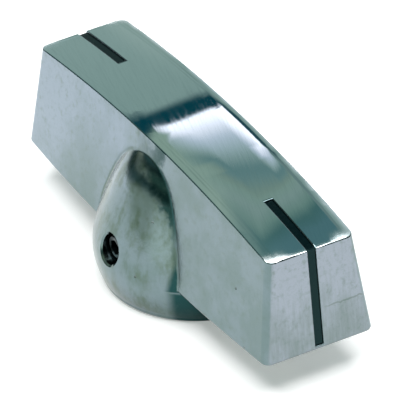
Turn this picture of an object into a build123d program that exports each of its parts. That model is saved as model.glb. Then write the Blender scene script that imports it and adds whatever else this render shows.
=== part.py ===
"""Bar control knob: one cast aluminium body, its set screw and two enamel pointer lines.

Millimetres, +Z up. The origin is the centre of the hub's base, where the knob
faces its panel. The bar runs along X and the set screw enters from -Y.
"""

import math
import os

from build123d import *

# ---- Bar: outer body ----
BAR_LENGTH = 76.0            # along X, at the underside of the wings
BAR_LENGTH_TOP = 72.8        # along X, where the end faces meet the top
BAR_WIDTH_END = 19.7         # across Y at the ends, underside
BAR_WIDTH_MID = 22.8         # across Y at mid length, underside (bowed sides)
BAR_WIDTH_TOP = 15.6         # across Y along the whole top face
WING_Z = 6.5                 # height of the wings' underside above the panel
END_HEIGHT = 17.6            # underside to the sides' top edge, at the ends
MID_HEIGHT = 20.5            # underside to the sides' top edge, at mid length
ARCH_R = 245.0               # radius of the arched top, seen from the side

# ---- Bar: edges ----
CORNER_R = 1.5               # upright corners of the bar
SIDE_ROLL = 2.5              # the buffed top rolls off over this width along both long edges
SIDE_ROLL_R = 10.5
SIDE_ROLL_EASE = 0.8         # width over which the side roll's curvature builds up
END_ROLL = 1.1               # and the top rolls off over this length at both ends
END_ROLL_R = 5.5
TOP_EDGE_R = 0.25            # arris left all round the top face
UNDER_EDGE_R = 0.45          # edges round the underside

# ---- Hub ----
HUB_BASE_R = 15.8            # flat base ring
HUB_BASE_ROUND = 0.9         # rounding between base and flank
HUB_FLANK_R = 16.45          # where the bulge of the base passes into the taper
HUB_FLANK_Z = 9.0
HUB_FLANK_LEAN = 0.3         # inward lean there, per unit of height
HUB_SHOULDER_R = 12.3        # where the taper passes into the domed top
HUB_SHOULDER_Z = 19.4
HUB_DOME_R = 7.2             # edge of the domed top, inside the bar
HUB_DOME_Z = 24.9
HUB_CREASE_R = 0.55         # fillet where the flank runs into the bar

# ---- Stem bore, for a 5/16 in (7.94 mm) control stem ----
BORE_D = 8.0
BORE_DEPTH = 17.0
BORE_CHAMFER = 0.6

# ---- Set screw, 10-32 x 7/16, hex socket, cup point ----
SCREW_Z = 9.3                # height of the screw's axis
SCREW_D = 4.8                # over the thread crests
SCREW_LENGTH = 11.1
SCREW_PITCH = 0.794
THREAD_DEPTH = 0.42
SCREW_HOLE_D = 4.92
SCREW_TIP_Y = -4.05          # rest position of the point, just clear of the stem
SOCKET_AF = 2.38             # hex socket across flats
SOCKET_DEPTH = 2.6
SOCKET_DRILL = 0.7           # drilled cone below the socket
SCREW_RIM = 0.6              # bevelled rim round the socket end, in radius
SCREW_RIM_LENGTH = 0.35
CUP_R = 1.3                  # ring of the cup point
CUP_WIDTH = 0.5
CUP_DEPTH = 0.6
CUP_LENGTH = 0.7             # from the ring back to the thread's root
THREAD_START = 0.9           # first ridge, from the point
THREAD_RISE = 0.42           # shares of the pitch at which a ridge reaches and leaves its crest
THREAD_FALL = 0.56
THREAD_END = 0.98
HOLE_CHAMFER = 0.3

# ---- Pointer lines ----
LINE_WIDTH = 1.5
LINE_DEPTH = 1.0             # depth of the groove below the metal
LINE_INSET = 23.1            # distance from the centre to the groove's inner end
LINE_FOOT = 0.7              # metal left below the groove on the end face
LINE_RIM = 0.14              # softened rim of the groove
ENAMEL_RECESS = 0.28         # enamel sits this far below the metal
ENAMEL_GAP = 0.02            # side clearance of the enamel in its groove

# ---- Cutting tools ----
TOOL_HALF_WIDTH = 12.8       # of the tool that cuts the top, a little wider than the bar
TOOL_STEP = 0.4              # spacing of the points that its curve runs through
TOOL_RISE = 6.0              # how far tools stand above the metal
TOOL_MARGIN = 2.0            # how far they overrun it elsewhere

# ---- Worked out from the sizes above ----
END_LEAN = (BAR_LENGTH - BAR_LENGTH_TOP) / 2 / END_HEIGHT
ROLL_TURN = SIDE_ROLL - SIDE_ROLL_EASE / 2
SIDE_ROLL_DROP = (ROLL_TURN**2 / 2 + SIDE_ROLL_EASE**2 / 24) / SIDE_ROLL_R
CREST_Z = WING_Z + MID_HEIGHT + SIDE_ROLL_DROP
ARCH_CENTRE = (0.0, CREST_Z - ARCH_R)
ROLL_TILT = math.asin((BAR_LENGTH_TOP / 2 - END_ROLL) / ARCH_R)
ROLL_CENTRE = (
    (ARCH_R - END_ROLL_R) * math.sin(ROLL_TILT),
    ARCH_CENTRE[1] + (ARCH_R - END_ROLL_R) * math.cos(ROLL_TILT),
)


def half_length(z):
    """Half length of the bar, z above the wings' underside."""
    return BAR_LENGTH / 2 - END_LEAN * z


def half_width(z, at_middle):
    """Half width of the bar, z above the underside, at mid length or at the ends."""
    bottom = (BAR_WIDTH_MID if at_middle else BAR_WIDTH_END) / 2
    height = MID_HEIGHT if at_middle else END_HEIGHT
    return bottom - (bottom - BAR_WIDTH_TOP / 2) / height * z


def barrel_section(z):
    """Horizontal section of the bar: straight ends and bowed long sides."""
    x = half_length(z)
    y_end = half_width(z, False)
    y_mid = half_width(z, True)
    outline = Wire(
        [
            Line((-x, -y_end), (-x, y_end)),
            ThreePointArc((-x, y_end), (0, y_mid), (x, y_end)),
            Line((x, y_end), (x, -y_end)),
            ThreePointArc((x, -y_end), (0, -y_mid), (-x, -y_end)),
        ]
    )
    return Pos(0, 0, WING_Z + z) * Face(outline)


def on_arc(centre, radius, tilt):
    """Point of a side-view arc whose normal leans by tilt from upright towards +X."""
    return centre[0] + radius * math.sin(tilt), centre[1] + radius * math.cos(tilt)


def side_profile(inset):
    """Side view of the bar, x against height, set in from the top and ends by inset."""
    shift = inset * math.sqrt(1 + END_LEAN**2)
    roll = END_ROLL_R - inset
    # Where the sloping end line meets the end roll.
    x = half_length(END_HEIGHT) - shift
    for _ in range(30):
        z = ROLL_CENTRE[1] + math.sqrt(roll**2 - (x - ROLL_CENTRE[0]) ** 2)
        x = half_length(z - WING_Z) - shift
    end_tilt = math.atan2(x - ROLL_CENTRE[0], z - ROLL_CENTRE[1])
    mid_x, mid_z = on_arc(ROLL_CENTRE, roll, (ROLL_TILT + end_tilt) / 2)
    start_x, start_z = on_arc(ARCH_CENTRE, ARCH_R - inset, ROLL_TILT)
    low = -TOOL_MARGIN
    foot = half_length(low) - shift
    outline = Wire(
        [
            Line((-foot, WING_Z + low), (foot, WING_Z + low)),
            Line((foot, WING_Z + low), (x, z)),
            ThreePointArc((x, z), (mid_x, mid_z), (start_x, start_z)),
            ThreePointArc((start_x, start_z), on_arc(ARCH_CENTRE, ARCH_R - inset, 0), (-start_x, start_z)),
            ThreePointArc((-start_x, start_z), (-mid_x, mid_z), (-x, z)),
            Line((-x, z), (-foot, WING_Z + low)),
        ]
    )
    return Face(outline)


def across(face, width):
    """Stand a side-view face up in the XZ plane and extrude it to the given width."""
    return Plane.XZ.offset(-width / 2) * extrude(face, width)


def side_drop(y):
    """How far the top has rolled off at distance y from the bar's middle plane."""
    past = abs(y) - (BAR_WIDTH_TOP / 2 - SIDE_ROLL)
    if past <= 0:
        return 0.0
    if past < SIDE_ROLL_EASE:
        return past**3 / (6 * SIDE_ROLL_EASE * SIDE_ROLL_R)
    return ((past - SIDE_ROLL_EASE / 2) ** 2 / 2 + SIDE_ROLL_EASE**2 / 24) / SIDE_ROLL_R


def above_crown(radius, tilt_from, tilt_to):
    """Space above a stretch of the top face, with its side rolls, swept about the Y axis."""
    wide = TOOL_HALF_WIDTH
    high = radius + TOOL_RISE
    count = round(2 * wide / TOOL_STEP)
    across_top = [TOOL_STEP * index - wide for index in range(count + 1)]
    crown = Spline(*[(0, y, radius - side_drop(y)) for y in across_top])
    outline = Wire(
        [
            crown,
            Line(crown @ 1, (0, wide, high)),
            Line((0, wide, high), (0, -wide, high)),
            Line((0, -wide, high), crown @ 0),
        ]
    )
    start = Rot(0, math.degrees(tilt_from), 0) * Face(outline)
    return revolve(start, Axis.Y, math.degrees(tilt_to - tilt_from))


def build_block():
    """Drafted, bowed block with rounded upright corners, taller than the bar."""
    block = loft([barrel_section(0), barrel_section(MID_HEIGHT + TOOL_MARGIN)], ruled=True)
    upright = block.edges().filter_by(lambda e: abs(e.tangent_at(0.5).Z) > 0.8)
    return fillet(upright, CORNER_R)


def build_bar(block):
    """The block cut to its arched top, which rolls off towards all four edges."""
    bar = block - Pos(0, 0, ARCH_CENTRE[1]) * above_crown(ARCH_R, -ROLL_TILT, ROLL_TILT)
    end = Pos(ROLL_CENTRE[0], 0, ROLL_CENTRE[1]) * above_crown(END_ROLL_R, ROLL_TILT, math.radians(60))
    return bar - end - Rot(0, 0, 180) * end


def build_hub():
    """Round hub: a soft bulge near the base, a long taper, and a domed top inside the bar."""
    inner = HUB_BASE_R - HUB_BASE_ROUND
    diagonal = math.sin(math.pi / 4) * HUB_BASE_ROUND
    foot = (HUB_BASE_R, 0, HUB_BASE_ROUND)
    waist = (HUB_FLANK_R, 0, HUB_FLANK_Z)
    shoulder = (HUB_SHOULDER_R, 0, HUB_SHOULDER_Z)
    dome = (HUB_DOME_R, 0, HUB_DOME_Z)
    taper = TangentArc(waist, shoulder, tangent=(-HUB_FLANK_LEAN, 0, 1))
    outline = Wire(
        [
            Line((0, 0, 0), (inner, 0, 0)),
            ThreePointArc((inner, 0, 0), (inner + diagonal, 0, HUB_BASE_ROUND - diagonal), foot),
            TangentArc(waist, foot, tangent=(HUB_FLANK_LEAN, 0, -1)),
            taper,
            TangentArc(shoulder, dome, tangent=taper % 1),
            Line(dome, (0, 0, HUB_DOME_Z)),
            Line((0, 0, HUB_DOME_Z), (0, 0, 0)),
        ]
    )
    return revolve(Face(outline), Axis.Z)


def groove_solid(side, depth_from, depth_to, width, x_inner, foot):
    """L-shaped strip along the top and down one end, between two depths below the metal."""
    outer = across(side_profile(depth_from), width)
    inner = across(side_profile(depth_to), width + TOOL_MARGIN)
    strip = outer - inner
    reach = Box(BAR_LENGTH, width + TOOL_MARGIN, BAR_LENGTH, align=(Align.MIN, Align.CENTER, Align.MIN))
    strip = strip & (Pos(x_inner, 0, WING_Z + foot) * reach)
    if side < 0:
        strip = Rot(0, 0, 180) * strip
    return strip


def crease_edge(edge):
    """True for the curved edges where the hub's flank runs into the bar's side faces."""
    middle = edge.position_at(0.5)
    box = edge.bounding_box()
    climbs = box.max.Z - box.min.Z > CORNER_R
    near_hub = math.hypot(middle.X, middle.Y) < HUB_FLANK_R + TOOL_MARGIN
    on_side = abs(middle.Y) > BAR_WIDTH_TOP / 4
    return climbs and near_hub and on_side and box.min.Z < HUB_SHOULDER_Z


def arris_edge(edge, walls):
    """True for the edges where the top face meets the walls of the bar."""
    middle = edge.position_at(0.5)
    on_wall = min(wall.distance_to(middle) for wall in walls) < 0.01
    at_top = middle.Z > WING_Z + END_HEIGHT - END_ROLL
    return on_wall and at_top and abs(edge.tangent_at(0.5).Z) < 0.8


def under_edge(edge):
    """True for the edges round the wings' underside, leaving out the hub's own circle."""
    box = edge.bounding_box()
    level = box.max.Z - box.min.Z < 0.1 and abs(edge.center().Z - WING_Z) < 0.01
    return level and abs(edge.position_at(0.5).Y) < BAR_WIDTH_MID / 2 + TOOL_MARGIN


def screw_mouth_edge(edge):
    """True for the edge where the screw hole opens on the hub's flank."""
    box = edge.bounding_box()
    small = box.max.X - box.min.X < SCREW_HOLE_D + 0.1
    outside = box.max.Y < TOOL_MARGIN - HUB_FLANK_R
    return small and outside and abs(edge.center().Z - SCREW_Z) < SCREW_HOLE_D


def groove_rim_edge(edge, skin):
    """True for the edges where the pointer grooves open on the metal's outer skin."""
    middle = edge.position_at(0.5)
    in_line = abs(middle.Y) < LINE_WIDTH / 2 + 0.01 and abs(middle.X) > LINE_INSET - 0.01
    level_middle = abs(middle.Y) > LINE_WIDTH / 2 - 0.01 or abs(edge.tangent_at(0.5).Y) > 0.9
    return in_line and level_middle and min(face.distance_to(middle) for face in skin) < 0.005


def build_body():
    """The casting: bar and hub in one piece, with bore, screw hole and pointer grooves."""
    hub = build_hub()
    block = build_block()
    walls = block.faces().filter_by(lambda face: abs(face.normal_at().Z) < 0.5)
    room = (BAR_LENGTH, BAR_LENGTH, BAR_LENGTH)
    above = Pos(0, 0, WING_Z) * Box(*room, align=(Align.CENTER, Align.CENTER, Align.MIN))
    body = build_bar(block) + (hub & above)
    body = fillet(body.edges().filter_by(crease_edge), HUB_CREASE_R)
    body = fillet(body.edges().filter_by(lambda edge: arris_edge(edge, walls)), TOP_EDGE_R)
    body = fillet(body.edges().filter_by(under_edge), UNDER_EDGE_R)
    body = body + hub

    bore = extrude(Circle(BORE_D / 2), BORE_DEPTH)
    lead = Pos(0, 0, BORE_CHAMFER / 2) * Cone(BORE_D / 2 + BORE_CHAMFER, BORE_D / 2, BORE_CHAMFER)
    body = body - bore - lead

    screw_axis = Plane(origin=(0, 0, SCREW_Z), z_dir=(0, -1, 0))
    body = body - screw_axis * extrude(Circle(SCREW_HOLE_D / 2), HUB_FLANK_R + TOOL_RISE)
    mouth = body.edges().filter_by(screw_mouth_edge)
    body = chamfer(mouth, HOLE_CHAMFER)

    skin = body.faces()
    for side in (1, -1):
        body = body - groove_solid(side, -TOOL_RISE / 2, LINE_DEPTH, LINE_WIDTH, LINE_INSET, LINE_FOOT)
    rim = body.edges().filter_by(lambda edge: groove_rim_edge(edge, skin))
    return fillet(rim, LINE_RIM)


def build_screw():
    """Socket set screw with its axis along Y, thread drawn as closed ridges."""
    crest = SCREW_D / 2
    root = crest - THREAD_DEPTH
    points = [(0, CUP_DEPTH), (CUP_R - CUP_WIDTH, 0.0), (CUP_R, 0.0), (root, CUP_LENGTH)]
    turns = int((SCREW_LENGTH - 2 * THREAD_START) / SCREW_PITCH)
    for turn in range(turns):
        z = THREAD_START + turn * SCREW_PITCH
        points.append((root, z))
        points.append((crest, z + SCREW_PITCH * THREAD_RISE))
        points.append((crest, z + SCREW_PITCH * THREAD_FALL))
        points.append((root, z + SCREW_PITCH * THREAD_END))
    points.append((root, SCREW_LENGTH - SCREW_RIM_LENGTH))
    points.append((crest - SCREW_RIM, SCREW_LENGTH))
    points.append((0, SCREW_LENGTH))
    outline = Polyline(*[(r, 0, z) for r, z in points], close=True)
    screw = revolve(Face(Wire(outline.edges())), Axis.Z)

    floor = SCREW_LENGTH - SOCKET_DEPTH
    socket = RegularPolygon(SOCKET_AF / 2, 6, major_radius=False)
    screw = screw - Pos(0, 0, floor) * extrude(socket, SOCKET_DEPTH + 1)
    screw = screw - Pos(0, 0, floor - SOCKET_DRILL / 2) * Cone(0, SOCKET_AF / 2, SOCKET_DRILL)
    placed = Plane(origin=(0, SCREW_TIP_Y, SCREW_Z), z_dir=(0, -1, 0))
    return placed * screw


def build_enamel(side):
    """Enamel fill of one pointer groove, a little below the metal."""
    return groove_solid(
        side,
        ENAMEL_RECESS,
        LINE_DEPTH,
        LINE_WIDTH - 2 * ENAMEL_GAP,
        LINE_INSET + ENAMEL_GAP,
        LINE_FOOT + ENAMEL_GAP,
    )


PARTS = {
    "knob_body": build_body(),
    "set_screw": build_screw(),
    "front_pointer_enamel": build_enamel(1),
    "rear_pointer_enamel": build_enamel(-1),
}

os.makedirs("parts", exist_ok=True)
for name, shape in PARTS.items():
    export_step(shape, f"parts/{name}.step")
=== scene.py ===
"""Looks of the bar control knob: materials, floor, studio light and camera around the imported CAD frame.

Metres, +Z up, in the CAD model's own frame. Patterns inside the materials are sized in millimetres.
"""

import math

import bpy
from mathutils import Matrix, Vector

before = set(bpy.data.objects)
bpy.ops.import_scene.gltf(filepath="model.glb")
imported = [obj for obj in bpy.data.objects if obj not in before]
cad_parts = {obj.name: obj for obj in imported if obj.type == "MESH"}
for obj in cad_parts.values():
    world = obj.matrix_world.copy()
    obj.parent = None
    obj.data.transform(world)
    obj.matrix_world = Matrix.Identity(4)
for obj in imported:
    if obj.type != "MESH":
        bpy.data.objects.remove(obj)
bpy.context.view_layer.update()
MM = 0.001

# ---- Camera: a long lens, looking down on the corner between the -Y side and the +X end ----
CAMERA_AZIMUTH = math.radians(61.4)      # from -Y towards +X
CAMERA_ELEVATION = math.radians(34.42)
CAMERA_ROLL = math.radians(-2.34)
CAMERA_DISTANCE = 1.654
CAMERA_REACH = 20.0                      # nothing further away is drawn
CAMERA_LENS = 940.7                      # for a 36 mm wide sensor
CAMERA_TARGET = Vector((0.5, 0.2, 13.0)) * MM

# ---- Sizes of the casting that its finish follows, in millimetres ----
WING_Z = 6.5                             # height of the wings' underside
MID_HEIGHT = 20.5                        # underside to the sides' top edge, at mid length
END_HEIGHT = 17.6                        # underside to the sides' top edge, at the ends
BAR_WIDTH_MID = 22.8                     # across Y at the underside, at mid length
BAR_WIDTH_END = 19.7                     # across Y at the underside, at the ends
BAR_WIDTH_TOP = 15.6                     # across Y along the whole top face
HALF_LENGTH = 37.3                       # half the bar's length, at half its height
HUB_REACH = 30.0                         # more than the hub's height or radius
RING_PITCH = 0.35                        # of the turned rings under the hub
SCRATCH_Z = 12.9                         # lowest point of the scratch on the +X end
SCRATCH_WOBBLE = 1.4                     # how far it wanders above that

# Heights on the hub, with its radius there.
HUB_OUTLINE = [
    (6.5, 16.45),
    (9, 16.4),
    (12, 15.5),
    (15, 14.3),
    (18, 13.0),
    (20, 12.0),
    (22, 10.6),
    (23, 9.7),
    (24, 8.5),
]

# Distance from the long edge, half width of the core, half width of the whole mark, strength.
WHEEL_MARKS = [
    (1.05, 0.04, 0.22, 0.32),
    (1.60, 0.03, 0.20, 0.20),
]

# ---- Zones of the casting: where each starts to change, and where it has changed ----
TOP_FACING = (0.72, 0.88)                # upward part of the normal
TOP_Z = (21.5, 22.5)                     # heights, in millimetres
END_FACING = (0.80, 0.95)                # lengthwise part of the normal
ABOVE_WINGS = (6.3, 6.6)                 # heights
BELOW_WINGS = (6.0, 6.6)
BASE_FACING = (-0.99, -0.95)             # upward part of the normal
BASE_Z = (0.3, 0.6)                      # heights
OFF_HUB = (0.3, 0.6)                     # distances from the hub's skin

# ---- Colours (linear) ----
POLISHED = (0.70, 0.78, 0.79)
BUFFING_LINE = (0.55, 0.64, 0.65)
WHEEL_MARK = (0.30, 0.38, 0.38)
DRIED_POLISH = (1.0, 1.0, 1.0)
# Painted shade on the metal at the grooves.
GROOVE_PAINTED_SHADE = (0.06, 0.12, 0.13)
# Lit and shaded copies of the side colour: painted light and shade.
SATIN_PAINTED_LIT = (0.212, 0.262, 0.31)
SATIN_PAINTED_SHADED = (0.130, 0.182, 0.185)
SATIN_STAIN = (0.112, 0.160, 0.138)
# Lit and shaded copies of the end colour: painted light and shade.
END_PAINTED_LIT = (0.243, 0.276, 0.314)
END_PAINTED_SHADED = (0.144, 0.183, 0.181)
HUB_STAIN = (0.080, 0.118, 0.085)
HUB_SHADE = (0.070, 0.120, 0.130)
PIT = (0.10, 0.12, 0.11)
# Painted shade in the creases and under the wings.
CREASE_PAINTED_SHADE = (0.014, 0.050, 0.050)
ENAMEL_THIN = (0.0003, 0.002, 0.003)
ENAMEL_THICK = (0.001, 0.005, 0.006)
ENAMEL_SHEEN = (0.35, 1.0, 1.0)
BLACK_OXIDE = (0.022, 0.032, 0.034)
WORN_STEEL = (0.12, 0.15, 0.15)

# ---- Floor ----
FLOOR_HALF = 4.0                         # half its side, in metres
FLOOR_COLOUR = (0.90, 0.87, 0.86)
FLOOR_GLOW = (0.95, 0.97, 0.96)
FLOOR_GLOW_STRENGTH = 0.30

# ---- Light of the room (linear) ----
BAND = (0.002, 0.050, 0.070)             # the dark band behind the knob
WALL = (0.25, 0.36, 0.34)
WALL_FOOT = (0.60, 0.68, 0.70)
STRIP = (1.70, 1.80, 1.65)
CEILING = (8.8, 8.95, 9.1)
SCRIM = (0.95, 1.02, 1.04)
SCRIM_DARK = (0.30, 0.36, 0.38)
NO_LIGHT = (0.0, 0.0, 0.0)

# What the back wall shows by elevation, in degrees. The softbox stands on the dark band.
LOW_WALL = [
    (0, WALL_FOOT),
    (12, (0.36, 0.48, 0.48)),
    (17, (0.28, 0.39, 0.37)),
]
BELOW_SOFTBOX = [
    *LOW_WALL,
    (30.2, WALL),
    (31.2, BAND),
]
SOFTBOX = [
    (33.4, (1.5, 1.5, 1.7)),
    (34.6, (1.1, 1.1, 1.25)),
    (36.1, (0.57, 0.65, 0.77)),
    (37.3, (0.36, 0.47, 0.50)),
    (38.0, (0.23, 0.34, 0.33)),
    (38.7, (0.12, 0.23, 0.235)),
    (39.5, (0.15, 0.26, 0.26)),
    (40.3, (0.20, 0.29, 0.25)),
    (41.0, (0.22, 0.33, 0.29)),
    (42.8, (0.23, 0.33, 0.31)),
    (45.1, (0.16, 0.27, 0.24)),
    (47.1, (0.06, 0.15, 0.15)),
    (49.4, (0.08, 0.18, 0.20)),
]
PLAIN_WALL = [
    *LOW_WALL,
    (30.4, WALL),
    (31.2, BAND),
    (33.0, BAND),
    (34.2, (0.28, 0.39, 0.33)),
    (44.5, (0.27, 0.38, 0.33)),
    (48.0, (0.16, 0.26, 0.24)),
    (53.0, (0.07, 0.16, 0.16)),
]

# What the rest of the room shows.
DARK_ROOM = [
    (0, (0.88, 0.98, 0.84)),
    (17, (0.80, 0.90, 0.78)),
    (22, (0.07, 0.17, 0.16)),
    (30, (0.07, 0.17, 0.16)),
    (35, (0.75, 0.80, 0.65)),
    (39, (0.65, 0.72, 0.60)),
    (43, (0.05, 0.13, 0.13)),
]

# ---- Places in the room, in degrees: bearings from the middle of the back wall, and elevations ----
# A pair is where a change starts and where it ends.
OVERHEAD = 90.0
BAND_MIDDLE = -0.7                       # bearing where the band turns from climbing to falling
BAND_TOP = 34.4                          # elevation that leaning edges are counted from
BAND_CLIMB = (-0.0145, 0.70)             # bend and slope of the band to the left of its middle
BAND_CLIMB_END = 22.0                    # it climbs no further than this
BAND_FALL = (0.03, 0.76)                 # bend and slope to the right
SOFTBOX_START = (33.0, 33.5)             # elevations along the band
SOFTBOX_LEFT = (-4.6, -0.4)              # bearings
SOFTBOX_LEAN = 0.45                      # of its left edge to the right, for each degree of rise
SOFTBOX_RISE = (1.0, 0.7)                # bearing from which its light reaches higher, and slope
SOFTBOX_DROP = (4.5, -2.0)               # bearing from which it drops away, and slope
UPRIGHT = 8.8                            # bearing of the middle of the dark upright
UPRIGHT_LEAN = 0.55
UPRIGHT_HALF = (1.3, 2.8)                # bearings from its middle
UPRIGHT_FOOT = (25.0, 28.5)              # elevations where it starts
UPRIGHT_FADE = (32.0, 35.0)              # elevations where it grows fainter
RIGHT_WALL_START = (-2.6, -1.5)          # bearings from the upright
RIGHT_WALL_LIT = (3.0, 8.0)
WALL_LEFT = (-32.0, -22.0)               # bearings where the back wall starts
WALL_RIGHT = (60.0, 90.0)                # and where it ends
STRIP_BEARING = -138.0
STRIP_HALF = (8.0, 26.0)                 # bearings from its middle
STRIP_TOP = (9.0, 16.0)                  # elevations
ROOM_LOWERED = (-110.0, -43.0)           # bearings
ROOM_LOWERING = 20.0
ROOM_DIMMED = (-78.0, -45.0)             # bearings
ROOM_DIMMING = 0.35                      # share of the light that is lost
OVER_WALL = (45.0, 60.0)                 # bearings to either side
CEILING_START = (57.0, 62.0)             # elevations
CEILING_START_OVER_WALL = (58.0, 70.0)
CEILING_BACK = (-0.35, 0.25)             # level part of the direction, towards the back wall
CEILING_FRONT_SHARE = 0.9                # of the ceiling's light, at the front
SCRIM_START = (69.0, 77.0)               # elevations
SCRIM_BACK = (-0.25, 0.25)


class Graph:
    """A node tree, with calls that add nodes, fill their inputs and return what they give."""

    def __init__(self, tree):
        self.tree = tree

    def add(self, kind, inputs=None, **settings):
        """Add a node, set its properties, then fill its inputs."""
        node = self.tree.nodes.new(kind)
        for key, value in settings.items():
            setattr(node, key, value)
        self.fill(node, inputs or {})
        return node

    def fill(self, node, inputs):
        """Link a node's inputs to sockets, or set their values. A colour is three numbers."""
        for key, value in inputs.items():
            socket = node.inputs[key]
            if isinstance(value, bpy.types.NodeSocket):
                self.tree.links.new(value, socket)
            elif socket.type == "RGBA":
                socket.default_value = (*value, 1.0)
            else:
                socket.default_value = value

    def math(self, operation, *values):
        """Result of one operation on numbers or sockets."""
        return self.add("ShaderNodeMath", dict(enumerate(values)), operation=operation).outputs[0]

    def product(self, first, *others):
        """All the values multiplied."""
        for value in others:
            first = self.math("MULTIPLY", first, value)
        return first

    def total(self, first, *others):
        """All the values added up."""
        for value in others:
            first = self.math("ADD", first, value)
        return first

    def line(self, value, slope, start):
        """Slope times the value, plus start."""
        return self.math("MULTIPLY_ADD", value, slope, start)

    def size(self, value):
        """The value without its sign."""
        return self.math("ABSOLUTE", value)

    def gap(self, a, b):
        """Distance between two numbers."""
        return self.size(self.math("SUBTRACT", a, b))

    def past(self, value, limit, slope):
        """Slope times how far the value is above a limit, and 0 below it."""
        return self.product(self.math("MAXIMUM", self.math("SUBTRACT", value, limit), 0.0), slope)

    def smooth(self, value, low, high, start, end):
        """Smooth step: start for values up to low, end for values from high on."""
        inputs = {"Value": value, "From Min": low, "From Max": high, "To Min": start, "To Max": end}
        node = self.add("ShaderNodeMapRange", inputs, interpolation_type="SMOOTHSTEP")
        return node.outputs["Result"]

    def rise(self, value, low, high, full=1.0):
        """Smooth step from 0 up to full."""
        return self.smooth(value, low, high, 0.0, full)

    def fall(self, value, low, high, full=1.0):
        """Smooth step from full down to 0."""
        return self.smooth(value, low, high, full, 0.0)

    def mix(self, factor, a, b):
        """Mix of two colours."""
        node = self.add("ShaderNodeMix", {"Factor": factor, "A": a, "B": b}, data_type="RGBA")
        return node.outputs["Result"]

    def blend(self, factor, a, b):
        """Mix of two numbers."""
        node = self.add("ShaderNodeMix", {"Factor": factor, "A": a, "B": b}, data_type="FLOAT")
        return node.outputs["Result"]

    def ramp(self, value, reach, stops):
        """Colour read off a list of (value, colour) pairs, for values from 0 to reach."""
        node = self.add("ShaderNodeValToRGB", {"Fac": self.math("DIVIDE", value, reach)})
        elements = node.color_ramp.elements
        while len(elements) > 1:
            elements.remove(elements[-1])
        for index, (place, colour) in enumerate(stops):
            element = elements[0] if index == 0 else elements.new(place / reach)
            element.position = place / reach
            element.color = (*colour, 1.0)
        return node.outputs["Color"]

    def split(self, vector):
        """The three parts of a vector."""
        return self.add("ShaderNodeSeparateXYZ", {0: vector}).outputs

    def red(self, colour):
        """The first channel of a colour."""
        return self.add("ShaderNodeSeparateColor", {0: colour}).outputs[0]

    def point(self):
        """Position on the piece, in millimetres."""
        coords = self.add("ShaderNodeTexCoord").outputs["Object"]
        inputs = {0: coords, "Scale": 1 / MM}
        return self.add("ShaderNodeVectorMath", inputs, operation="SCALE").outputs[0]

    def stretch(self, vector, scale, degrees=0.0):
        """Position turned about Z and scaled, for long-grained patterns."""
        inputs = {"Vector": vector, "Angle": math.radians(degrees)}
        turned = self.add("ShaderNodeVectorRotate", inputs, rotation_type="Z_AXIS").outputs[0]
        return self.add("ShaderNodeVectorMath", {0: turned, 1: scale}, operation="MULTIPLY").outputs[0]

    def noise(self, vector, scale=1.0, detail=2.0, roughness=0.5):
        """Cloudy pattern of values between 0 and 1."""
        inputs = {"Vector": vector, "Scale": scale, "Detail": detail, "Roughness": roughness}
        return self.add("ShaderNodeTexNoise", inputs).outputs["Fac"]

    def bump(self, height, distance_mm):
        """Normal that shows a height pattern as fine relief."""
        inputs = {"Height": height, "Distance": distance_mm * MM, "Strength": 1.0}
        return self.add("ShaderNodeBump", inputs).outputs["Normal"]


def new_material(name):
    """Plain material: itself, its graph and its shader node."""
    material = bpy.data.materials.new(name)
    material.use_nodes = True
    return material, Graph(material.node_tree), material.node_tree.nodes["Principled BSDF"]


def hub_radius(g, z):
    """Radius of the hub at a height, read off a ramp that holds it as greys."""
    greys = [(height, (radius / HUB_REACH,) * 3) for height, radius in HUB_OUTLINE]
    return g.product(g.red(g.ramp(z, HUB_REACH, greys)), HUB_REACH)


def leaning_wall(g, z, width, height):
    """Distance of a side wall from the middle plane, from its width at the wings' underside."""
    lean = (width - BAR_WIDTH_TOP) / 2 / height
    return g.line(z, -lean, width / 2 + lean * WING_Z)


def wall_distance(g, x, z):
    """Distance of the bar's bowed side wall from the middle plane."""
    middle = leaning_wall(g, z, BAR_WIDTH_MID, MID_HEIGHT)
    end = leaning_wall(g, z, BAR_WIDTH_END, END_HEIGHT)
    share = g.math("DIVIDE", g.product(x, x), HALF_LENGTH**2)
    return g.blend(share, middle, end)


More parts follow.
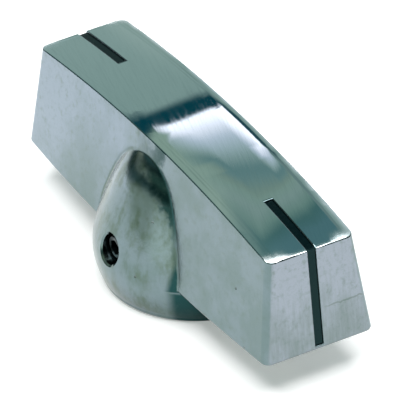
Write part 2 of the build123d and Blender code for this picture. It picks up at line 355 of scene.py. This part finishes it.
class Casting:
    """The casting's surface: places and zones on it, and the patterns that its finishes share."""

    def __init__(self, g):
        self.point = g.point()
        self.x, self.y, self.z = g.split(self.point)
        self.nx, _, self.nz = g.split(g.add("ShaderNodeTexCoord").outputs["Normal"])
        self.along = g.size(self.x)
        self.across = g.size(self.y)
        self.radius = g.math("SQRT", g.total(g.product(self.x, self.x), g.product(self.y, self.y)))
        # Sideways from the middle, as each long side or each end is faced.
        self.side_left = g.product(self.x, g.math("SIGN", self.y))
        self.end_right = g.product(self.y, g.math("SIGN", self.x))
        self.from_hub = g.gap(self.radius, hub_radius(g, self.z))
        self.from_edge = g.math("SUBTRACT", wall_distance(g, self.x, self.z), self.across)

        self.top = g.product(g.rise(self.nz, *TOP_FACING), g.rise(self.z, *TOP_Z))
        self.end_face = g.rise(g.size(self.nx), *END_FACING)
        self.above_wings = g.rise(self.z, *ABOVE_WINGS)

        # Buffing lines run along the bar, slightly askew.
        buffed = g.stretch(self.point, (0.16, 2.6, 1.0), degrees=15)
        self.lines = g.noise(buffed, detail=4.0, roughness=0.6)
        self.patches = g.noise(self.point, scale=0.16, detail=3.0, roughness=0.6)
        self.mottle = g.noise(self.point, scale=0.9, detail=4.0, roughness=0.65)
        self.grain = g.noise(self.point, scale=4.5, detail=3.0, roughness=0.7)
        self.streaks = self.draw_marks(g)
        self.pits = self.few_pits(g)

    def draw_marks(self, g):
        """Upright streaks on the end faces, half lighter and half darker."""
        drawn = g.stretch(self.point, (2.2, 2.2, 0.10))
        marks = g.noise(drawn, detail=3.0, roughness=0.6)
        return g.product(g.math("SUBTRACT", marks, 0.5), self.end_face)

    def few_pits(self, g):
        """Small round pits, in about one cell of five, and none on the buffed top."""
        cells = g.add("ShaderNodeTexVoronoi", {"Vector": self.point, "Scale": 0.28}, feature="F1")
        rare = g.rise(g.red(cells.outputs["Color"]), 0.80, 0.82)
        dots = g.fall(cells.outputs["Distance"], 0.030, 0.075)
        return g.product(dots, rare, g.math("SUBTRACT", 1.0, self.top))


def low_painted_shade(g, at):
    """Painted shade on the hub's flanks towards the wings: in the low creases, and below the wings."""
    toward_wing = g.math("DIVIDE", at.along, g.math("MAXIMUM", at.across, 0.1))
    tapered = g.line(g.math("SUBTRACT", at.z, WING_Z), -0.030, toward_wing)
    crease = g.product(g.rise(tapered, 0.84, 1.00), g.fall(at.z, 9.5, 13.5), at.above_wings)
    below = g.product(g.rise(toward_wing, 0.86, 1.12), g.fall(at.z, *BELOW_WINGS))
    flank = g.product(g.rise(g.size(at.nx), 0.45, 0.60), g.fall(at.along, 16.8, 17.3))
    return g.product(g.math("MAXIMUM", crease, below), flank)


def seam_painted_shade(g, at):
    """Ragged painted shade where the hub runs into the bar's side, widest high up, and mostly to the right.
    """
    widened = g.math("DIVIDE", g.size(at.from_edge), g.smooth(at.z, 16.5, 21.5, 1.0, 3.2))
    ragged = g.smooth(at.mottle, 0.35, 0.65, -0.20, 0.20)
    seam = g.fall(g.total(at.from_hub, widened, ragged), 0.20, 0.85, full=0.95)
    higher = g.smooth(at.z, 13.0, 18.0, 0.35, 1.0)
    to_right = g.smooth(at.side_left, -4.0, 4.0, 1.0, 0.15)
    return g.product(seam, higher, at.above_wings, to_right)


def painted_crease_shade(g, at):
    """Painted shade in the creases and under the wings, its strength varied slightly by the mottle."""
    creases = g.math("MAXIMUM", low_painted_shade(g, at), seam_painted_shade(g, at))
    return g.product(creases, g.smooth(at.mottle, 0.20, 0.50, 0.85, 1.0))


def satin_painted_light_and_patches(g, at):
    """Painted light and shade on the satin: lighter high up, most on the ends, and lighter on the wing that
    points to -X; random patches and the draw marks are added.
    """
    high = g.rise(at.z, 8.0, 22.0)
    far_wing = g.product(g.smooth(at.x, -36.0, -18.0, 0.75, -0.05), g.math("SUBTRACT", 1.0, at.end_face))
    side = g.total(far_wing, g.product(high, g.smooth(at.x, -8.0, 8.0, 0.7, 0.05)))
    shading_and_patches = g.blend(at.end_face, side, g.line(high, 0.75, 0.22))
    shading_and_patches = g.total(shading_and_patches, g.rise(at.patches, 0.35, 0.65, full=0.35), at.streaks)
    return g.add("ShaderNodeClamp", {"Value": shading_and_patches}).outputs[0]


def scratch(g, at):
    """One fine scratch across the +Y half of the +X end."""
    wobble = g.noise(g.stretch(at.point, (0.0, 0.5, 0.0)))
    off_line = g.gap(at.z, g.line(wobble, SCRATCH_WOBBLE, SCRATCH_Z))
    thin = g.fall(off_line, 0.04, 0.22, full=0.5)
    return g.product(thin, g.rise(at.nx, *END_FACING), g.rise(at.y, 1.2, 3.0))


def satin_colour(g, at):
    """Colour of the sides, the ends and the hub: metal with painted light and shade, then stains, pits and
    painted shade in the creases.
    """
    shading_and_patches = satin_painted_light_and_patches(g, at)
    # Painted light and shade: sides and ends go from their shaded to their lit colour.
    sides = g.mix(shading_and_patches, SATIN_PAINTED_SHADED, SATIN_PAINTED_LIT)
    ends = g.mix(shading_and_patches, END_PAINTED_SHADED, END_PAINTED_LIT)
    satin = g.mix(at.end_face, sides, ends)
    satin = g.mix(g.rise(at.mottle, 0.48, 0.78, full=0.55), satin, SATIN_STAIN)
    satin = g.mix(g.rise(at.grain, 0.50, 0.80, full=0.35), satin, SATIN_STAIN)
    satin = g.mix(scratch(g, at), satin, HUB_STAIN)

    # The hub is shaded towards its left, and stained in drips.
    on_hub = g.fall(at.from_hub, *OFF_HUB)
    shade = g.product(on_hub, g.rise(at.side_left, 3.0, 11.0, full=0.55))
    satin = g.mix(shade, satin, HUB_SHADE)
    drips = g.noise(g.stretch(at.point, (1.0, 1.0, 0.35)), scale=0.42, detail=4.0, roughness=0.7)
    stain = g.product(on_hub, g.rise(drips, 0.42, 0.68, full=0.75))
    satin = g.mix(stain, satin, HUB_STAIN)

    satin = g.mix(g.product(at.pits, 0.7), satin, PIT)
    # Painted shade in the creases and under the wings.
    return g.mix(painted_crease_shade(g, at), satin, CREASE_PAINTED_SHADE)


def wheel_marks(g, at):
    """Faint broken marks of the buffing wheel along each long edge, fading towards its left."""
    marks = [
        g.fall(g.gap(at.from_edge, distance), core, whole, full=strength)
        for distance, core, whole, strength in WHEEL_MARKS
    ]
    broken = g.smooth(at.patches, 0.35, 0.60, 0.35, 1.0)
    to_right = g.smooth(at.side_left, -12.0, 2.0, 1.0, 0.15)
    return g.product(g.math("MAXIMUM", *marks), broken, to_right)


def buffed_colour(g, at):
    """Colour of the polished top, with what the buffing wheel left on it, and painted shade at the grooves.
    """
    buffed = g.mix(g.rise(at.lines, 0.40, 0.75, full=0.30), POLISHED, BUFFING_LINE)
    buffed = g.mix(wheel_marks(g, at), buffed, WHEEL_MARK)
    # A pale haze of dried polish lies along one edge of each wing.
    haze = g.product(g.fall(at.end_right, -7.5, -1.5, full=0.6), g.rise(at.along, 9.0, 30.0))
    buffed = g.mix(haze, buffed, DRIED_POLISH)
    # Painted shade darkens the metal at the rims of the grooves.
    groove_shade = g.product(g.fall(at.across, 0.84, 0.93, full=0.85), g.rise(at.along, 22.7, 22.95))
    return g.mix(groove_shade, buffed, GROOVE_PAINTED_SHADE)


def casting_roughness(g, at):
    """Satin sides, and a mirror top that is duller at its corners."""
    satin = g.line(at.mottle, 0.12, 0.11)
    mirror = g.line(g.rise(at.lines, 0.35, 0.75), 0.035, 0.022)
    corner = g.product(g.rise(at.along, 33.0, 36.5), g.smooth(at.across, 3.0, 5.5, 0.15, 1.0))
    return g.blend(at.top, satin, g.line(corner, 0.30, mirror))


def casting_relief(g, at):
    """Height of the fine relief: lines and waves on the top, cast skin elsewhere, rings on the base."""
    buffed = g.stretch(at.point, (0.35, 9.0, 1.0), degrees=11)
    hairlines = g.noise(buffed, detail=3.0, roughness=0.6)
    waves = g.noise(at.point, scale=0.11, detail=1.0)
    polish = g.total(g.product(at.lines, 0.5), g.product(hairlines, 0.25), g.product(waves, 2.0))
    skin = g.total(g.product(at.mottle, 0.8), g.product(at.grain, 0.35), at.streaks)
    skin = g.line(at.pits, -6.0, skin)
    base = g.product(g.fall(at.nz, *BASE_FACING), g.fall(at.z, *BASE_Z))
    rings = g.product(g.math("SINE", g.product(at.radius, 2 * math.pi / RING_PITCH)), base)
    return g.blend(at.top, g.total(skin, rings), g.product(polish, 0.13))


def cast_aluminium():
    """Mirror-buffed top face, satin tumbled sides, turned rings under the hub."""
    material, g, shader = new_material("cast_aluminium")
    at = Casting(g)
    g.fill(shader, {
        "Base Color": g.mix(at.top, satin_colour(g, at), buffed_colour(g, at)),
        "Metallic": 1.0,
        "Roughness": casting_roughness(g, at),
        "Normal": g.bump(casting_relief(g, at), 0.012),
    })
    return material


def black_enamel():
    """Brushed-in enamel: nearly black, glossy, with faint brush lines."""
    material, g, shader = new_material("black_enamel")
    point = g.point()
    brush = g.noise(g.stretch(point, (0.5, 5.0, 0.5)), detail=3.0)
    lumps = g.noise(point, scale=1.4)
    g.fill(shader, {
        "Base Color": g.mix(lumps, ENAMEL_THIN, ENAMEL_THICK),
        "Roughness": g.line(lumps, 0.12, 0.10),
        "Specular IOR Level": 0.2,
        "Specular Tint": ENAMEL_SHEEN,
        "Normal": g.bump(g.line(brush, 0.3, lumps), 0.02),
    })
    return material


def black_oxide_steel():
    """Blackened steel with worn spots that show the metal."""
    material, g, shader = new_material("black_oxide_steel")
    point = g.point()
    wear = g.rise(g.noise(point, scale=1.1, detail=4.0, roughness=0.65), 0.55, 0.72)
    grain = g.noise(point, scale=8.0)
    g.fill(shader, {
        "Base Color": g.mix(wear, BLACK_OXIDE, WORN_STEEL),
        "Metallic": 1.0,
        "Roughness": g.line(grain, 0.2, 0.22),
        "Normal": g.bump(grain, 0.01),
    })
    return material


def finish_nodes():
    """Give each CAD node its material."""
    metal = cast_aluminium()
    steel = black_oxide_steel()
    enamel = black_enamel()
    finishes = {
        "knob_body": metal,
        "set_screw": steel,
        "front_pointer_enamel": enamel,
        "rear_pointer_enamel": enamel,
    }
    for name, material in finishes.items():
        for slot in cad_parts[name].material_slots:
            slot.material = material


def build_floor():
    """Plain pale floor under the knob, faintly lit through like a light table."""
    half = FLOOR_HALF
    mesh = bpy.data.meshes.new("floor")
    corners = [(-half, -half, 0), (half, -half, 0), (half, half, 0), (-half, half, 0)]
    mesh.from_pydata(corners, [], [(0, 1, 2, 3)])
    floor = bpy.data.objects.new("floor", mesh)
    bpy.context.scene.collection.objects.link(floor)
    material, g, shader = new_material("floor")
    g.fill(shader, {
        "Base Color": FLOOR_COLOUR,
        "Roughness": 0.8,
        "Specular IOR Level": 0.2,
        "Emission Color": FLOOR_GLOW,
        "Emission Strength": FLOOR_GLOW_STRENGTH,
    })
    mesh.materials.append(material)


class Gaze:
    """Which way a ray leaves for the room, in degrees."""

    def __init__(self, g):
        dx, dy, dz = g.split(g.add("ShaderNodeTexCoord").outputs["Generated"])
        cos, sin = math.cos(CAMERA_AZIMUTH), math.sin(CAMERA_AZIMUTH)
        right = g.line(dx, cos, g.product(dy, sin))
        # Level part of the direction, towards the back wall.
        self.back = g.line(dx, -sin, g.product(dy, cos))
        # Bearing from the middle of the back wall, positive to the right as the camera sees it.
        self.bearing = g.product(g.math("ARCTAN2", right, self.back), math.degrees(1))
        self.elevation = g.product(g.math("ARCSINE", dz), math.degrees(1))
        self.level = self.band_level(g)

    def band_level(self, g):
        """Elevation, counted along the wall's bands: they climb to the left and fall to the right."""
        from_middle = g.math("SUBTRACT", self.bearing, BAND_MIDDLE)
        to_left = g.math("MINIMUM", g.product(from_middle, -1.0), BAND_CLIMB_END)
        to_left = g.math("MAXIMUM", to_left, 0.0)
        to_right = g.math("MAXIMUM", from_middle, 0.0)
        climb = g.product(to_left, g.line(to_left, *BAND_CLIMB))
        fall = g.product(to_right, g.line(to_right, *BAND_FALL))
        return g.total(g.math("SUBTRACT", self.elevation, climb), fall)

    def leaning(self, g, lean):
        """Bearing, counted from an edge that leans to the right as it rises past the band's top."""
        return g.line(g.math("SUBTRACT", self.elevation, BAND_TOP), -lean, self.bearing)


def softbox_wall(g, gaze):
    """Middle of the back wall: a softbox on the dark band, its light raised towards the right."""
    raised = g.total(g.past(gaze.bearing, *SOFTBOX_RISE), g.past(gaze.bearing, *SOFTBOX_DROP))
    softbox = g.ramp(g.math("SUBTRACT", gaze.elevation, raised), OVERHEAD, SOFTBOX)
    below = g.ramp(gaze.level, OVERHEAD, BELOW_SOFTBOX)
    return g.mix(g.rise(gaze.level, *SOFTBOX_START), below, softbox)


def right_wall(g, gaze, past_upright):
    """Wall to the right of the softbox, lit further along, with a dark upright at its start."""
    wall = g.mix(g.rise(past_upright, *RIGHT_WALL_LIT), WALL, WALL_FOOT)
    upright = g.fall(g.size(past_upright), *UPRIGHT_HALF, full=0.95)
    foot = g.rise(gaze.elevation, *UPRIGHT_FOOT)
    upper = g.smooth(gaze.elevation, *UPRIGHT_FADE, 1.0, 0.4)
    return g.mix(g.product(upright, foot, upper), wall, BAND)


def back_wall(g, gaze):
    """The whole back wall: plain at the left, then the softbox, then the right wall."""
    softbox_side = g.rise(gaze.leaning(g, SOFTBOX_LEAN), *SOFTBOX_LEFT)
    plain = g.ramp(gaze.level, OVERHEAD, PLAIN_WALL)
    wall = g.mix(softbox_side, plain, softbox_wall(g, gaze))
    past_upright = g.math("SUBTRACT", gaze.leaning(g, UPRIGHT_LEAN), UPRIGHT)
    right_side = g.rise(past_upright, *RIGHT_WALL_START)
    return g.mix(right_side, wall, right_wall(g, gaze, past_upright))


def dark_room(g, gaze):
    """The rest of the room, with one lit strip. Its tones stand lower and dimmer except far to the left."""
    lowered = g.total(gaze.elevation, g.rise(gaze.bearing, *ROOM_LOWERED, full=ROOM_LOWERING))
    strip = g.product(
        g.fall(g.gap(gaze.bearing, STRIP_BEARING), *STRIP_HALF),
        g.fall(gaze.elevation, *STRIP_TOP),
    )
    room = g.mix(strip, g.ramp(lowered, OVERHEAD, DARK_ROOM), STRIP)
    return g.mix(g.rise(gaze.bearing, *ROOM_DIMMED, full=ROOM_DIMMING), room, NO_LIGHT)


def ceiling(g, gaze):
    """Bright ceiling, brighter towards the back, with a dimmer grey scrim in its middle."""
    share = g.smooth(gaze.back, *CEILING_BACK, CEILING_FRONT_SHARE, 1.0)
    bright = g.mix(share, NO_LIGHT, CEILING)
    scrim = g.mix(g.rise(gaze.back, *SCRIM_BACK), SCRIM_DARK, SCRIM)
    return g.mix(g.rise(gaze.elevation, *SCRIM_START), bright, scrim)


def build_studio():
    """Soft light: a bright ceiling, a lit wall with a softbox behind the knob, and a dark room round it."""
    world = bpy.data.worlds.new("studio")
    bpy.context.scene.world = world
    world.use_nodes = True
    g = Graph(world.node_tree)
    gaze = Gaze(g)
    on_wall = g.product(g.rise(gaze.bearing, *WALL_LEFT), g.fall(gaze.bearing, *WALL_RIGHT))
    room = g.mix(on_wall, dark_room(g, gaze), back_wall(g, gaze))
    # The ceiling fades in more slowly over the back wall.
    overhead = g.blend(
        g.fall(g.size(gaze.bearing), *OVER_WALL),
        g.rise(gaze.elevation, *CEILING_START),
        g.rise(gaze.elevation, *CEILING_START_OVER_WALL),
    )
    light = g.mix(overhead, room, ceiling(g, gaze))
    g.fill(world.node_tree.nodes["Background"], {"Color": light, "Strength": 1.0})


def build_camera():
    """Camera at the azimuth, elevation and roll above, aimed at the knob's middle."""
    data = bpy.data.cameras.new("camera")
    data.lens = CAMERA_LENS
    data.clip_end = CAMERA_REACH
    camera = bpy.data.objects.new("camera", data)
    bpy.context.scene.collection.objects.link(camera)
    flat = math.cos(CAMERA_ELEVATION)
    away = Vector((
        flat * math.sin(CAMERA_AZIMUTH),
        -flat * math.cos(CAMERA_AZIMUTH),
        math.sin(CAMERA_ELEVATION),
    ))
    aim = away.to_track_quat("Z", "Y").to_matrix().to_4x4()
    place = Matrix.Translation(CAMERA_TARGET + away * CAMERA_DISTANCE)
    camera.matrix_world = place @ aim @ Matrix.Rotation(CAMERA_ROLL, 4, "Z")
    bpy.context.scene.camera = camera


finish_nodes()
build_floor()
build_studio()
build_camera()
bpy.context.scene.view_settings.view_transform = "Standard"
